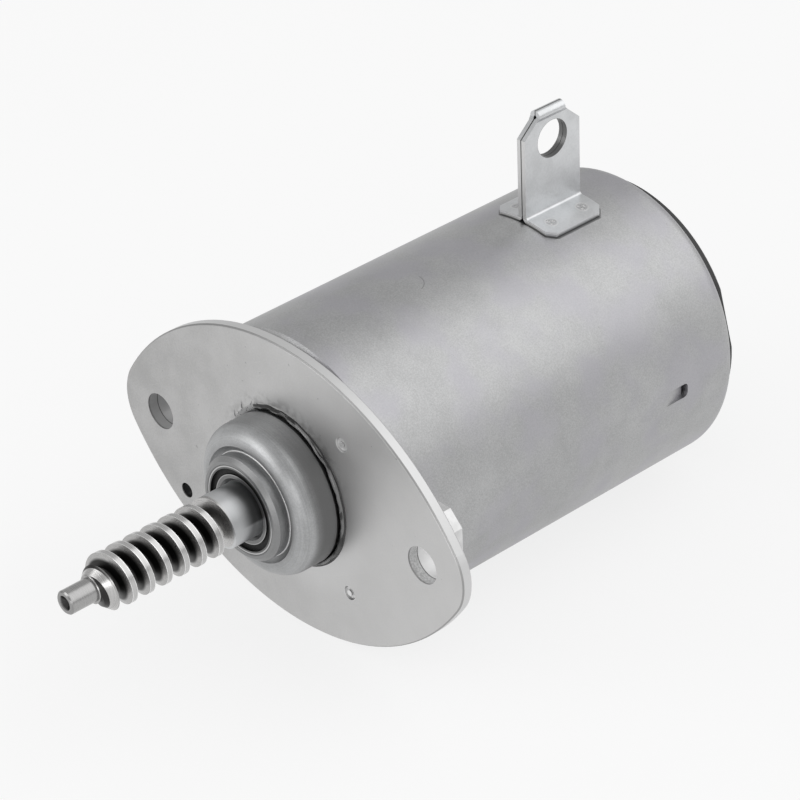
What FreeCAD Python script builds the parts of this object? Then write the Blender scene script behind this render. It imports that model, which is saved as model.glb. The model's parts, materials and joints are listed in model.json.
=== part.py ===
import FreeCAD, Part
import math
import os

# Variable valve lift actuator: a small worm-drive electric motor.
# All sizes in millimetres. +Y runs along the shaft to the rear cap, +X across the flange's ears
# and +Z up through the bracket. The origin is on the shaft axis, in the flange's front face.

V = FreeCAD.Vector
ORIGIN = V(0, 0, 0)
SHAFT_AXIS = V(0, 1, 0)

# How far a cutting shape runs past the piece that it cuts
over = 1.0

# Mounting flange
flange_thickness = 2.4
flange_side_inset = 0.06
hole_from_can = 6.5
ear_radius = 10.76
mount_hole_r = 3.83
flange_edge_chamfer = 0.3
vent_hole_r = 1.6
vent_hole_x = -31.1
vent_hole_z = -15.6
dimple_r = 1.5
dimple_floor_r = 1.2
dimple_nub_r = 0.6
dimple_ring_r = 23.5
dimple_depth = 0.45
dimple_angles = (45.0, -45.0)

# Distance blocks behind the flange's ears
block_thickness = 3.0
block_half_width = 5.2
block_half_height = 11.0
block_chamfer = 3.0

# Motor can, drawn in one piece with its front wall
can_r = 31.0
can_length = 88.7
can_wall = 2.0
can_front_wall = 1.8
can_front_chamfer = 1.0
can_rim_round = 2.9

# Lances pressed in from the can's wall
lance_half_width = 1.5
lance_to_can_rear = 19.8
lance_length = 5.1
lance_depth = 1.1
lance_slit = 0.7
lance_corner_r = 0.9
lance_sink = 0.04
lance_angles = (0.0, 180.0)

# Front bearing housing
boss_r = 15.7
boss_height = 9.2
boss_round = 3.7
dish_depth = 0.8
dish_bow = 0.25
collar_wall = 1.45
collar_height = 11.7
collar_chamfer = 0.8
spigot_r = 13.0
bearing_ledge = 1.05
swage_lip = 1.0
swage_thickness = 1.4
bead_width = 1.1
bead_height = 1.3
bead_bulge = 0.65
boss_foot_relief = 0.5

# Front ball bearing
pitch_r = 7.85
race_lip = 0.65
outer_ring_lip = 0.75
inner_ring_lip = 2.2
bearing_width = 5.0
bearing_inset = 0.1
inner_ring_inset = 0.3
countersink_lip = 0.8
countersink_depth = 0.7
ball_r = 0.95
ball_count = 10
race_clearance = 0.02
cage_clearance = 0.1
pocket_clearance = 0.05
cage_half_width = 1.2
seal_thickness = 0.45
seal_inset = 0.6
seal_clearance = 0.06

# Worm shaft
tip_y = -53.0
pin_r = 2.4
pin_chamfer = 0.28
centre_hole_r = 1.5
centre_drill_r = 0.7
centre_hole_depth = 1.4
centre_drill_depth = 2.6
cone_start = -47.2
cone_end = -43.9
worm_root_r = 2.8
shaft_shoulder = 0.635
worm_pitch = 4.084
worm_crest_width = 1.2
worm_flank_angle = 20.0
worm_root_round = 0.25
groove_phase_y = -19.3
groove_phase_angle = 40.0
groove_end_angle = -45.0
groove_runout = 170.0
groove_lift = 0.5
groove_lift_power = 1.6
groove_spare = 1.0
groove_lead_in = 540.0
groove_point_step = 15.0
groove_piece_angle = 180.0
seat_step = 0.5
rotor_seat_margin = 0.6
journal_to_can_rear = 7.9
shaft_end_to_can_rear = 0.7
shaft_chamfer = 0.5
clip_thickness = 1.0
clip_rise = 1.6
clip_groove_depth = 0.5
clip_gap_half_angle = 22.0
clip_clearance = 0.05

# Armature
core_start = 17.0
core_to_can_rear = 38.1
air_gap = 0.8
end_plate_thickness = 1.0
slot_count = 12
slot_bottom_r = 10.5
tooth_tip = 1.8
slot_bottom_half = 1.1
slot_top_half = 3.1
slot_mouth_half = 0.9
slot_lining = 0.25
end_turn_length = 8.2
end_turn_inner_r = 8.4
end_turn_inset = 1.2
end_turn_chamfer = 2.6

# Commutator
bar_r = 10.5
hub_r = 8.3
hub_margin = 0.6
bar_to_can_rear = 27.9
bar_length = 12.3
bar_gap = 0.6
riser_r = 12.2
riser_width = 1.8

# Magnets glued inside the can
magnet_thickness = 6.6
magnet_overhang = 3.0
magnet_half_angle = 66.0

# Brush carrier, brushes and springs
carrier_thickness = 4.0
carrier_clearance = 0.15
carrier_end_gap = 0.1
carrier_hole_r = 12.2
brush_width = 6.0
brush_height = 8.5
brush_clearance = 0.05
brush_contact_gap = 0.05
brush_guide_wall = 1.5
brush_guide_end = 1.0
brush_guide_foot = 0.4
brush_inset = 1.3
spring_end_inset = 2.6
spring_coil_r = 2.2
spring_wire = 0.6
spring_turns = 4.5

# Rear cap, its seal and bush
cap_proud = 2.4
cap_disc_clearance = 0.05
cap_edge_chamfer = 0.5
cap_floor = 2.6
cap_shoulder_drop = 0.2
cap_skirt_clearance = 0.1
cap_skirt_wall = 2.6
cap_flat_depth = 1.2
cap_flat_angle = 15.0
cap_hub_wall = 2.6
cap_rib_thickness = 1.6
cap_rib_height = 3.4
cap_rib_count = 6
seal_ring_width = 1.8
seal_ring_depth = 1.4
seal_ring_to_can_rear = 7.5
bush_wall = 3.4
bush_length = 6.0
bush_clearance = 0.03
bush_ledge = 1.5
shaft_end_room = 0.4
end_play = 0.1
washer_rim = 2.8
washer_thickness = 0.7

# Connector socket on the rear cap
socket_z = -15.5
socket_inner_w = 17.4
socket_inner_h = 10.4
socket_wall = 1.8
socket_height = 13.0
socket_floor = 2.0
socket_corner_r = 2.5
socket_inner_corner_r = 1.2
latch_width = 5.0
latch_depth = 1.3
latch_height = 3.0
latch_crest = 1.0
latch_inset = 2.0
blade_spacing = 7.0
blade_width = 2.8
blade_thickness = 0.8
blade_clear_of_mouth = 3.5
blade_taper = 1.0
blade_inset = 1.0

# Bracket, one folded sheet spot-welded to the can
bracket_to_can_rear = 20.6
bracket_width = 14.84
sheet = 1.0
sheet_gap = 0.1
bend_inner_r = 0.6
foot_half_span = 8.1
foot_corner = 1.8
bracket_hole_r = 3.96
bracket_hole_rise = 16.03
hem_rise = 21.5
hem_r = 1.35
hem_loop_r = 0.35
hem_width = 6.9
tab_corner_y = 4.0
tab_corner_z = 3.55
weld_x = 4.7
weld_spacing = 8.4
weld_pit_r = 0.35
weld_pit_depth = 0.25
weld_pit_ring = 0.62

# Places worked out from the sizes above
hole_spacing = 2 * (can_r + hole_from_can)
flange_half_width = can_r - flange_side_inset
bracket_hole_z = can_r + bracket_hole_rise
hem_z = can_r + hem_rise
flange_opening_r = boss_r + bead_width
can_front = flange_thickness
can_rear = flange_thickness + can_length
can_inner_r = can_r - can_wall
magnet_inner_r = can_inner_r - magnet_thickness
core_r = magnet_inner_r - air_gap
slot_top_r = core_r - tooth_tip
end_turn_outer_r = core_r - end_turn_inset
can_floor = can_front + can_front_wall
bracket_y = can_rear - bracket_to_can_rear
outer_shoulder_r = pitch_r + race_lip
inner_shoulder_r = pitch_r - race_lip
bearing_r = outer_shoulder_r + outer_ring_lip
bearing_bore_r = inner_shoulder_r - inner_ring_lip
countersink_r = inner_shoulder_r - countersink_lip
collar_r = bearing_r + collar_wall
housing_bore_r = bearing_r - bearing_ledge
worm_crest_r = bearing_bore_r + shaft_shoulder
clip_outer_r = bearing_bore_r + clip_rise
commutator_seat_r = bearing_bore_r - seat_step
journal_r = commutator_seat_r - seat_step
bearing_front = -collar_height + bearing_inset
bearing_rear = bearing_front + bearing_width
bearing_mid = (bearing_front + bearing_rear) / 2
inner_ring_front = bearing_front + inner_ring_inset
shoulder_y = inner_ring_front + countersink_depth
core_end = can_rear - core_to_can_rear
magnet_start = core_start - magnet_overhang
magnet_end = core_end + magnet_overhang
bar_start = can_rear - bar_to_can_rear
rotor_seat_end = bar_start - hub_margin - rotor_seat_margin
journal_start = can_rear - journal_to_can_rear
shaft_end = can_rear - shaft_end_to_can_rear
lance_start = can_rear - lance_to_can_rear
carrier_front = lance_start + lance_length + carrier_end_gap
carrier_rear = carrier_front + carrier_thickness
carrier_r = can_inner_r - carrier_clearance
brush_mid = carrier_front - brush_inset - brush_width / 2
brush_seat_z = bar_r + brush_contact_gap
brush_back_z = brush_seat_z + brush_height
spring_end_z = carrier_r - spring_end_inset
spring_room = spring_end_z - brush_back_z
cap_face = can_rear + cap_proud
cap_inside = cap_face - cap_floor
cap_disc_r = can_r - can_rim_round - cap_disc_clearance
cap_flat_distance = cap_disc_r - cap_flat_depth
skirt_r = can_inner_r - cap_skirt_clearance
skirt_inner_r = skirt_r - cap_skirt_wall
seal_ring_start = can_rear - seal_ring_to_can_rear
washer_r = journal_r + washer_rim
bush_r = journal_r + bush_wall
bush_start = journal_start + washer_thickness + end_play
hub_outer_r = bush_r + cap_hub_wall


def at(r, y):
    """A point of a turned profile: r from the shaft axis, y along it."""
    return V(r, y, 0)


def on_circle(centre, radius, degrees):
    """A point on a circle drawn in the plane of a profile."""
    angle = math.radians(degrees)
    return centre + V(radius * math.cos(angle), radius * math.sin(angle), 0)


def outline(start, *steps):
    """A closed wire: a step is a point for a line, or a pair of points for an arc."""
    edges = []
    here = start
    for step in steps:
        if isinstance(step, tuple):
            edges.append(Part.Arc(here, step[0], step[1]).toShape())
            here = step[1]
        else:
            edges.append(Part.LineSegment(here, step).toShape())
            here = step
    edges.append(Part.LineSegment(here, start).toShape())
    return Part.Wire(edges)


def turned(start, *steps):
    """A solid turned about the shaft axis from a closed profile."""
    face = Part.Face(outline(start, *steps))
    return face.revolve(ORIGIN, SHAFT_AXIS, 360)


def ring(inner_r, outer_r, y0, y1):
    """A plain ring about the shaft axis."""
    return turned(at(inner_r, y0), at(outer_r, y0), at(outer_r, y1), at(inner_r, y1))


def rod(radius, y0, y1, x=0.0, z=0.0):
    """A cylinder parallel to the shaft axis."""
    return Part.makeCylinder(radius, y1 - y0, V(x, y0, z), SHAFT_AXIS)


def block(x0, x1, y0, y1, z0, z1):
    """A box between two corners."""
    return Part.makeBox(x1 - x0, y1 - y0, z1 - z0, V(x0, y0, z0))


def about_shaft(shape, degrees):
    """A copy turned about the shaft axis, from +X towards +Z."""
    copy = shape.copy()
    copy.rotate(ORIGIN, SHAFT_AXIS, -degrees)
    return copy


def around(shape, count):
    """Copies spaced evenly about the shaft axis."""
    return [about_shaft(shape, 360.0 * i / count) for i in range(count)]


def plate(points, y0, y1):
    """A flat piece with straight sides, from (x, z) corners."""
    corners = [V(x, y0, z) for x, z in points]
    face = Part.Face(Part.makePolygon(corners + corners[:1]))
    return face.extrude(V(0, y1 - y0, 0))


def rounded_plate(x, z, width, height, corner, y0, y1):
    """A rectangular piece with round corners, seen along the shaft."""
    box = block(x - width / 2, x + width / 2, y0, y1, z - height / 2, z + height / 2)
    upright = [e for e in box.Edges if abs(e.tangentAt(e.FirstParameter).y) > 0.9]
    return box.makeFillet(corner, upright)


def save(name, shape):
    """Write one piece to its own file."""
    shape.exportStep("parts/" + name + ".step")


def flange_outline():
    """Two wide side arcs that run tangent into an arc about each mounting hole."""
    half = hole_spacing / 2
    width = flange_half_width
    side_r = (half ** 2 + width ** 2 - ear_radius ** 2) / (2 * (width - ear_radius))
    rise = side_r - width
    reach = math.hypot(half, rise)
    touch_x = side_r * half / reach
    touch_z = side_r * rise / reach - rise
    edges = [
        Part.Arc(V(-touch_x, 0, touch_z), V(0, 0, width), V(touch_x, 0, touch_z)),
        Part.Arc(V(touch_x, 0, touch_z), V(half + ear_radius, 0, 0), V(touch_x, 0, -touch_z)),
        Part.Arc(V(touch_x, 0, -touch_z), V(0, 0, -width), V(-touch_x, 0, -touch_z)),
        Part.Arc(V(-touch_x, 0, -touch_z), V(-half - ear_radius, 0, 0), V(-touch_x, 0, touch_z)),
    ]
    return Part.Wire([edge.toShape() for edge in edges])


def weld_dimple(degrees):
    """A shallow ring left by a projection weld, with a low nub in its middle."""
    groove = turned(
        at(dimple_nub_r, dimple_depth),
        at(dimple_floor_r, dimple_depth),
        at(dimple_r, 0),
        at(dimple_r, -over),
        at(dimple_nub_r, -over),
    )
    angle = math.radians(degrees)
    groove.translate(V(dimple_ring_r * math.cos(angle), 0, dimple_ring_r * math.sin(angle)))
    return groove


def mounting_flange():
    """The stamped plate with two ears."""
    blank = Part.Face(flange_outline()).extrude(V(0, flange_thickness, 0))
    blank = blank.makeChamfer(flange_edge_chamfer, blank.Edges)
    half = hole_spacing / 2
    back = flange_thickness + over
    cuts = [
        rod(mount_hole_r, -over, back, half),
        rod(mount_hole_r, -over, back, -half),
        rod(vent_hole_r, -over, back, vent_hole_x, vent_hole_z),
        rod(flange_opening_r, -over, back),
    ]
    cuts += [weld_dimple(angle) for angle in dimple_angles]
    return blank.cut(cuts)


def distance_block(side):
    """A bored block with cut corners, welded behind one ear."""
    w = block_half_width
    h = block_half_height
    c = block_chamfer
    corners = [(w, h - c), (w - c, h), (c - w, h), (-w, h - c)]
    corners += [(-w, c - h), (c - w, -h), (w - c, -h), (w, c - h)]
    centre_x = side * hole_spacing / 2
    corners = [(centre_x + x, z) for x, z in corners]
    body = plate(corners, flange_thickness, flange_thickness + block_thickness)
    bore = rod(mount_hole_r, 0, flange_thickness + block_thickness + over, centre_x)
    return body.cut(bore)


def lance_window():
    """The stretch of wall that a lance takes up, with its round-cornered slit at the rear."""
    end = lance_start + lance_length + lance_slit
    inner = can_r - can_wall - lance_depth
    box = block(inner, can_r + over, lance_start, end, -lance_half_width, lance_half_width)
    across = [e for e in box.Edges if abs(e.tangentAt(e.FirstParameter).x) > 0.9]
    return box.makeFillet(lance_corner_r, [e for e in across if e.CenterOfMass.y > end - over])


def lance_tab():
    """The wall pressed inwards as a ramp that is cut free at its rear end."""
    y0 = lance_start
    y1 = lance_start + lance_length
    corners = [
        V(can_inner_r, y0, -lance_half_width),
        V(can_r - lance_sink, y0, -lance_half_width),
        V(can_r - lance_depth, y1, -lance_half_width),
        V(can_inner_r - lance_depth, y1, -lance_half_width),
    ]
    face = Part.Face(Part.makePolygon(corners + corners[:1]))
    return face.extrude(V(0, 0, 2 * lance_half_width))


def motor_can():
    """A deep-drawn cup whose rear rim is rolled in over the cap."""
    rim_centre = at(can_r - can_rim_round, can_rear - can_rim_round)
    shell = turned(
        at(spigot_r, can_front),
        at(can_r - can_front_chamfer, can_front),
        at(can_r, can_front + can_front_chamfer),
        at(can_r, can_rear - can_rim_round),
        (on_circle(rim_centre, can_rim_round, 45), at(can_r - can_rim_round, can_rear)),
        at(can_r - can_rim_round, can_rear - can_wall),
        at(can_inner_r, can_rear - can_rim_round),
        at(can_inner_r, can_floor),
        at(spigot_r, can_floor),
    )
    windows = [about_shaft(lance_window(), angle) for angle in lance_angles]
    tabs = [about_shaft(lance_tab(), angle) for angle in lance_angles]
    return shell.cut(windows).fuse(tabs).removeSplitter()


def front_bearing_housing():
    """A turned cup with a rounded shoulder, a dished face and a collar round the bearing."""
    round_centre = at(boss_r - boss_round, -boss_height + boss_round)
    dish_y = -boss_height + dish_depth
    dish_edge = boss_r - boss_round
    dish_mid = at((dish_edge + collar_r) / 2, dish_y - dish_bow)
    back = can_floor + swage_thickness
    return turned(
        at(boss_r - boss_foot_relief, 0),
        at(boss_r, -bead_height),
        at(boss_r, -boss_height + boss_round),
        (on_circle(round_centre, boss_round, -45), at(dish_edge, -boss_height)),
        (dish_mid, at(collar_r, dish_y)),
        at(collar_r, -collar_height + collar_chamfer),
        at(collar_r - collar_chamfer, -collar_height),
        at(bearing_r + bearing_inset, -collar_height),
        at(bearing_r, -collar_height + bearing_inset),
        at(bearing_r, bearing_rear),
        at(housing_bore_r, bearing_rear),
        at(housing_bore_r, back),
        at(spigot_r + swage_lip, back),
        at(spigot_r + swage_lip, can_floor),
        at(spigot_r, can_floor),
        at(spigot_r, can_front),
        at(boss_r - boss_foot_relief, can_front),
    )


def sealant_bead():
    """The sealant that fills the groove between flange and housing and swells out of it."""
    return turned(
        at(boss_r - boss_foot_relief, 0),
        at(boss_r - boss_foot_relief, can_front),
        at(flange_opening_r, can_front),
        at(flange_opening_r, 0),
        at(boss_r + bead_width * bead_bulge, -bead_height * bead_bulge),
        at(boss_r, -bead_height),
    )


def bearing_outer_ring():
    """The fixed ring, with its ball race."""
    race = ball_r + race_clearance
    rise = outer_shoulder_r - pitch_r
    half = math.sqrt(race ** 2 - rise ** 2)
    return turned(
        at(outer_shoulder_r, bearing_front),
        at(bearing_r, bearing_front),
        at(bearing_r, bearing_rear),
        at(outer_shoulder_r, bearing_rear),
        at(outer_shoulder_r, bearing_mid + half),
        (at(pitch_r + race, bearing_mid), at(outer_shoulder_r, bearing_mid - half)),
    )


def bearing_inner_ring():
    """The turning ring, countersunk where the shaft's shoulder seats."""
    race = ball_r + race_clearance
    rise = pitch_r - inner_shoulder_r
    half = math.sqrt(race ** 2 - rise ** 2)
    return turned(
        at(bearing_bore_r, shoulder_y),
        at(worm_crest_r + seal_clearance, shoulder_y),
        at(countersink_r, inner_ring_front),
        at(inner_shoulder_r, inner_ring_front),
        at(inner_shoulder_r, bearing_mid - half),
        (at(pitch_r - race, bearing_mid), at(inner_shoulder_r, bearing_mid + half)),
        at(inner_shoulder_r, bearing_rear),
        at(bearing_bore_r, bearing_rear),
    )


def bearing_balls():
    """The ring of balls."""
    ball = Part.makeSphere(ball_r, V(pitch_r, bearing_mid, 0))
    return Part.makeCompound(around(ball, ball_count))


def bearing_cage():
    """A thin band with one pocket for each ball."""
    band = ring(
        inner_shoulder_r + cage_clearance,
        outer_shoulder_r - cage_clearance,
        bearing_mid - cage_half_width,
        bearing_mid + cage_half_width,
    )
    start = V(inner_shoulder_r - over, bearing_mid, 0)
    reach = outer_shoulder_r - inner_shoulder_r + 2 * over
    pocket = Part.makeCylinder(ball_r + pocket_clearance, reach, start, V(1, 0, 0))
    return band.cut(around(pocket, ball_count))


def bearing_seal(y0):
    """A flat seal held by the outer ring, just clear of the inner one."""
    return ring(inner_shoulder_r + seal_clearance, outer_shoulder_r, y0, y0 + seal_thickness)


def groove_point(degrees):
    """A point of the right-hand helix that the worm's cutter follows, then rises out along."""
    y = groove_phase_y - worm_pitch * (degrees - groove_phase_angle) / 360.0
    climb = max(0.0, (groove_end_angle - degrees) / groove_runout) ** groove_lift_power
    radius = worm_root_r + (worm_crest_r + groove_lift - worm_root_r) * climb
    angle = math.radians(degrees)
    return V(radius * math.cos(angle), y, radius * math.sin(angle))


def groove_path(first, last):
    """The cutter's path between two angles, in pieces of half a turn that run on smoothly."""
    steps = int(round((first - last) / groove_point_step))
    pieces = int(round((first - last) / groove_piece_angle))
    curve = Part.BSplineCurve()
    curve.interpolate([groove_point(first + (last - first) * i / steps) for i in range(steps + 1)])
    start = curve.FirstParameter
    reach = curve.LastParameter - start
    marks = [start + reach * i / pieces for i in range(pieces + 1)]
    return Part.Wire([curve.toShape(a, b) for a, b in zip(marks, marks[1:])])


def groove_section(degrees):
    """The cutter's outline in the plane through the shaft axis, at one place of its path."""
    start = groove_point(degrees)
    angle = math.radians(degrees)
    outward = V(math.cos(angle), 0, math.sin(angle))
    lean = math.tan(math.radians(worm_flank_angle))
    top = worm_crest_r - worm_root_r + groove_spare
    mouth = (worm_pitch - worm_crest_width) / 2 + groove_spare * lean
    low = worm_root_round
    floor = mouth - (top - low) * lean

    def place(rise, across):
        return start + outward * rise + SHAFT_AXIS * across

    lines = [
        Part.LineSegment(place(low, -floor), place(top, -mouth)).toShape(),
        Part.LineSegment(place(top, -mouth), place(top, mouth)).toShape(),
        Part.LineSegment(place(top, mouth), place(low, floor)).toShape(),
        Part.Arc(place(low, floor), place(0, 0), place(low, -floor)).toShape(),
    ]
    return Part.Wire(lines)


def worm_groove():
    """The thread gap, swept with its section always upright to the shaft."""
    turns = 360.0 * (groove_phase_y - cone_start) / worm_pitch
    first = groove_phase_angle + turns + groove_lead_in
    sweep = Part.BRepOffsetAPI.MakePipeShell(groove_path(first, groove_end_angle - groove_runout))
    sweep.setBiNormalMode(SHAFT_AXIS)
    sweep.add(groove_section(first), False, False)
    sweep.build()
    sweep.makeSolid()
    return sweep.shape()


def worm_shaft():
    """One bar: tip pin, worm, bearing seat, rotor seat and rear journal."""
    clip_floor = bearing_bore_r - clip_groove_depth
    clip_front = bearing_rear + clip_clearance
    bar = turned(
        at(0, tip_y + centre_drill_depth + centre_drill_r / 2),
        at(centre_drill_r, tip_y + centre_drill_depth),
        at(centre_drill_r, tip_y + centre_hole_depth),
        at(centre_hole_r, tip_y),
        at(pin_r - pin_chamfer, tip_y),
        at(pin_r, tip_y + pin_chamfer),
        at(pin_r, cone_start),
        at(worm_root_r, cone_start),
        at(worm_crest_r, cone_end),
        at(worm_crest_r, shoulder_y),
        at(bearing_bore_r, shoulder_y),
        at(bearing_bore_r, clip_front),
        at(clip_floor, clip_front),
        at(clip_floor, clip_front + clip_thickness + clip_clearance),
        at(bearing_bore_r, clip_front + clip_thickness + clip_clearance),
        at(bearing_bore_r, rotor_seat_end),
        at(commutator_seat_r, rotor_seat_end),
        at(commutator_seat_r, journal_start),
        at(journal_r, journal_start),
        at(journal_r, shaft_end - shaft_chamfer),
        at(journal_r - shaft_chamfer, shaft_end),
        at(0, shaft_end),
    )
    return bar.cut(worm_groove())


def retaining_ring():
    """An open spring clip that holds the bearing against the shaft's shoulder."""
    front = bearing_rear + clip_clearance
    band = ring(bearing_bore_r - clip_groove_depth, clip_outer_r, front, front + clip_thickness)
    reach = clip_outer_r * 1.5
    spread = reach * math.tan(math.radians(clip_gap_half_angle))
    corners = [(0, 0), (-spread, -reach), (spread, -reach)]
    mouth = plate(corners, front - over, front + clip_thickness + over)
    return band.cut(mouth)


def slot(bottom_r, top_r, bottom_half, top_half, y0, y1):
    """A slot of the armature, wider towards its mouth, pointing along +X."""
    corners = [(bottom_r, -bottom_half), (top_r, -top_half)]
    corners += [(top_r, top_half), (bottom_r, bottom_half)]
    return plate(corners, y0, y1)


def core_slot(y0, y1):
    """A slot with its narrow mouth."""
    body = slot(slot_bottom_r, slot_top_r, slot_bottom_half, slot_top_half, y0, y1)
    mouth = block(slot_top_r - over, core_r + over, y0, y1, -slot_mouth_half, slot_mouth_half)
    return body.fuse(mouth)


def slotted_stack(y0, y1):
    """Laminations between two places along the shaft."""
    stack = ring(bearing_bore_r, core_r, y0, y1)
    return stack.cut(around(core_slot(y0 - over, y1 + over), slot_count))


def armature_windings():
    """Wire packed in the slots and looped over both ends of the core."""
    front = core_start - end_plate_thickness
    rear = core_end + end_plate_thickness
    wire = slot(
        slot_bottom_r + slot_lining,
        slot_top_r - slot_lining,
        slot_bottom_half - slot_lining / 2,
        slot_top_half - slot_lining,
        front - over,
        rear + over,
    )
    return end_turns(front, -1).fuse([end_turns(rear, 1)] + around(wire, slot_count))


def end_turns(face, way):
    """The bundle of loops at one end of the core, sloped on its free side."""
    far = face + way * end_turn_length
    near = far - way * end_turn_chamfer
    return turned(
        at(end_turn_inner_r, face),
        at(end_turn_inner_r, near),
        at(end_turn_inner_r + end_turn_chamfer, far),
        at(end_turn_outer_r - end_turn_chamfer, far),
        at(end_turn_outer_r, near),
        at(end_turn_outer_r, face),
    )


def commutator_hub():
    """The moulded hub under the copper bars."""
    rear = bar_start + bar_length + hub_margin
    return ring(commutator_seat_r, hub_r, bar_start - hub_margin, rear)


def commutator_bars():
    """Copper bars, each with a riser for its coil wires."""
    end = bar_start + bar_length
    body = ring(hub_r, bar_r, bar_start, end)
    riser = ring(hub_r, riser_r, bar_start, bar_start + riser_width)
    drum = body.fuse(riser)
    gap = block(0, riser_r + over, bar_start - over, end + over, -bar_gap / 2, bar_gap / 2)
    return drum.cut(around(gap, slot_count))


def thrust_washer():
    """The washer that takes the shaft's rearward push."""
    rear = journal_start + washer_thickness
    return ring(journal_r, washer_r, journal_start, rear)


def pole_magnet(middle):
    """An arc magnet lying against the can's wall."""
    tube = ring(magnet_inner_r, can_inner_r, magnet_start, magnet_end)
    reach = 2 * can_r
    rise = reach * math.tan(math.radians(90 - magnet_half_angle))
    y0 = magnet_start - over
    y1 = magnet_end + over
    above = plate([(0, 0), (rise, reach), (-rise, reach)], y0, y1)
    below = plate([(0, 0), (rise, -reach), (-rise, -reach)], y0, y1)
    behind = block(-reach, 0, y0, y1, -reach, reach)
    return about_shaft(tube.cut([above, below, behind]), middle)


def brush_guide():
    """The square tunnel that guides the upper brush, trimmed to fit inside the can."""
    half = brush_width / 2 + brush_clearance + brush_guide_wall
    bottom = carrier_hole_r + brush_guide_foot
    top = spring_end_z + brush_guide_end
    outer = block(-half, half, brush_mid - half, carrier_front + over, bottom, top)
    return outer.common(rod(carrier_r, brush_mid - brush_width, carrier_rear))


def brush_tunnel():
    """The space inside the upper guide."""
    half = brush_width / 2 + brush_clearance
    return block(-half, half, brush_mid - half, brush_mid + half, 0, spring_end_z)


def blade_slots():
    """Two slots that the terminals pass through."""
    return [terminal(side) for side in (-1, 1)]


def brush_carrier():
    """A moulded plate with two brush guides, held between the lances and the cap."""
    disc = ring(carrier_hole_r, carrier_r, carrier_front, carrier_rear)
    guides = around(brush_guide(), 2)
    tunnels = around(brush_tunnel(), 2)
    return disc.fuse(guides).cut(tunnels + blade_slots())


def carbon_brush():
    """The upper brush, hollowed to the commutator's radius."""
    half = brush_width / 2
    body = block(-half, half, brush_mid - half, brush_mid + half, 0, brush_back_z)
    return body.cut(rod(brush_seat_z, brush_mid - brush_width, brush_mid + brush_width))


def brush_spring():
    """The coil spring between the upper brush and the closed end of its guide."""
    rise = spring_room - spring_wire
    path = Part.makeHelix(rise / spring_turns, rise, spring_coil_r)
    inner = spring_coil_r - spring_wire / 2
    outer = spring_coil_r + spring_wire / 2
    half = spring_wire / 2
    corners = [V(inner, 0, -half), V(outer, 0, -half), V(outer, 0, half), V(inner, 0, half)]
    section = Part.makePolygon(corners + corners[:1])
    coil = Part.Wire(path).makePipeShell([section], True, True)
    coil.translate(V(0, brush_mid, brush_back_z + half))
    return coil


def terminal(side):
    """A flat blade from the brush carrier to the connector socket."""
    x = side * blade_spacing / 2
    half = blade_width / 2
    tip = cap_face + socket_height - blade_clear_of_mouth
    start = carrier_front + blade_inset
    corners = [V(x - half, start, 0), V(x + half, start, 0)]
    corners += [V(x + half, tip - blade_taper, 0), V(x + half - blade_taper / 2, tip, 0)]
    corners += [V(x - half + blade_taper / 2, tip, 0), V(x - half, tip - blade_taper, 0)]
    face = Part.Face(Part.makePolygon(corners + corners[:1]))
    blade = face.extrude(V(0, 0, blade_thickness))
    blade.translate(V(0, 0, socket_z - blade_thickness / 2))
    return blade


def connector_socket():
    """The shroud round the terminals, with a ramp for the plug's latch."""
    width = socket_inner_w + 2 * socket_wall
    height = socket_inner_h + 2 * socket_wall
    mouth = cap_face + socket_height
    start = cap_face - cap_floor / 2
    outer = rounded_plate(0, socket_z, width, height, socket_corner_r, start, mouth)
    hollow = rounded_plate(
        0,
        socket_z,
        socket_inner_w,
        socket_inner_h,
        socket_inner_corner_r,
        cap_face + socket_floor,
        mouth + over,
    )
    top = socket_z + height / 2
    low = top - socket_wall / 2
    ramp_end = mouth - latch_inset - latch_height
    ramp = [V(0, mouth - latch_inset, low), V(0, mouth - latch_inset, top)]
    ramp += [V(0, ramp_end, top + latch_depth), V(0, ramp_end - latch_crest, top + latch_depth)]
    ramp += [V(0, ramp_end - latch_crest, low)]
    latch = Part.Face(Part.makePolygon(ramp + ramp[:1])).extrude(V(latch_width, 0, 0))
    latch.translate(V(-latch_width / 2, 0, 0))
    return outer.cut(hollow).fuse(latch)


def rear_cap():
    """The moulded cap: a disc through the can's mouth, a skirt, a hub and ribs inside."""
    lip = can_rear - can_rim_round
    step = can_rear - can_wall - bush_clearance
    ring_end = seal_ring_start + seal_ring_width
    shell = turned(
        at(0, cap_inside),
        at(skirt_inner_r, cap_inside),
        at(skirt_inner_r, carrier_rear),
        at(skirt_r, carrier_rear),
        at(skirt_r, seal_ring_start),
        at(can_inner_r - seal_ring_depth, seal_ring_start),
        at(can_inner_r - seal_ring_depth, ring_end),
        at(skirt_r, ring_end),
        at(skirt_r, lip - cap_shoulder_drop),
        at(cap_disc_r, step),
        at(cap_disc_r, cap_face - cap_edge_chamfer),
        at(cap_disc_r - cap_edge_chamfer, cap_face),
        at(0, cap_face),
    )
    hub = ring(0.0, hub_outer_r, bush_start, cap_inside)
    half = cap_rib_thickness / 2
    low = cap_inside - cap_rib_height
    rib = block(hub_outer_r - over, skirt_inner_r + over, low, cap_inside, -half, half)
    rib = about_shaft(rib, 180.0 / cap_rib_count)
    solid = shell.fuse([hub, connector_socket()] + around(rib, cap_rib_count))
    pocket = rod(bush_r, bush_start - over, bush_start + bush_length)
    pocket = pocket.fuse(rod(bush_r - bush_ledge, bush_start - over, shaft_end + shaft_end_room))
    return solid.cut([pocket, cap_flat()] + blade_slots())


def cap_flat():
    """What the flat on the proud edge of the cap takes away."""
    start = can_rear - bush_clearance
    piece = block(cap_flat_distance, can_r, start, cap_face + over, -can_r, can_r)
    return about_shaft(piece, cap_flat_angle)


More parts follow.
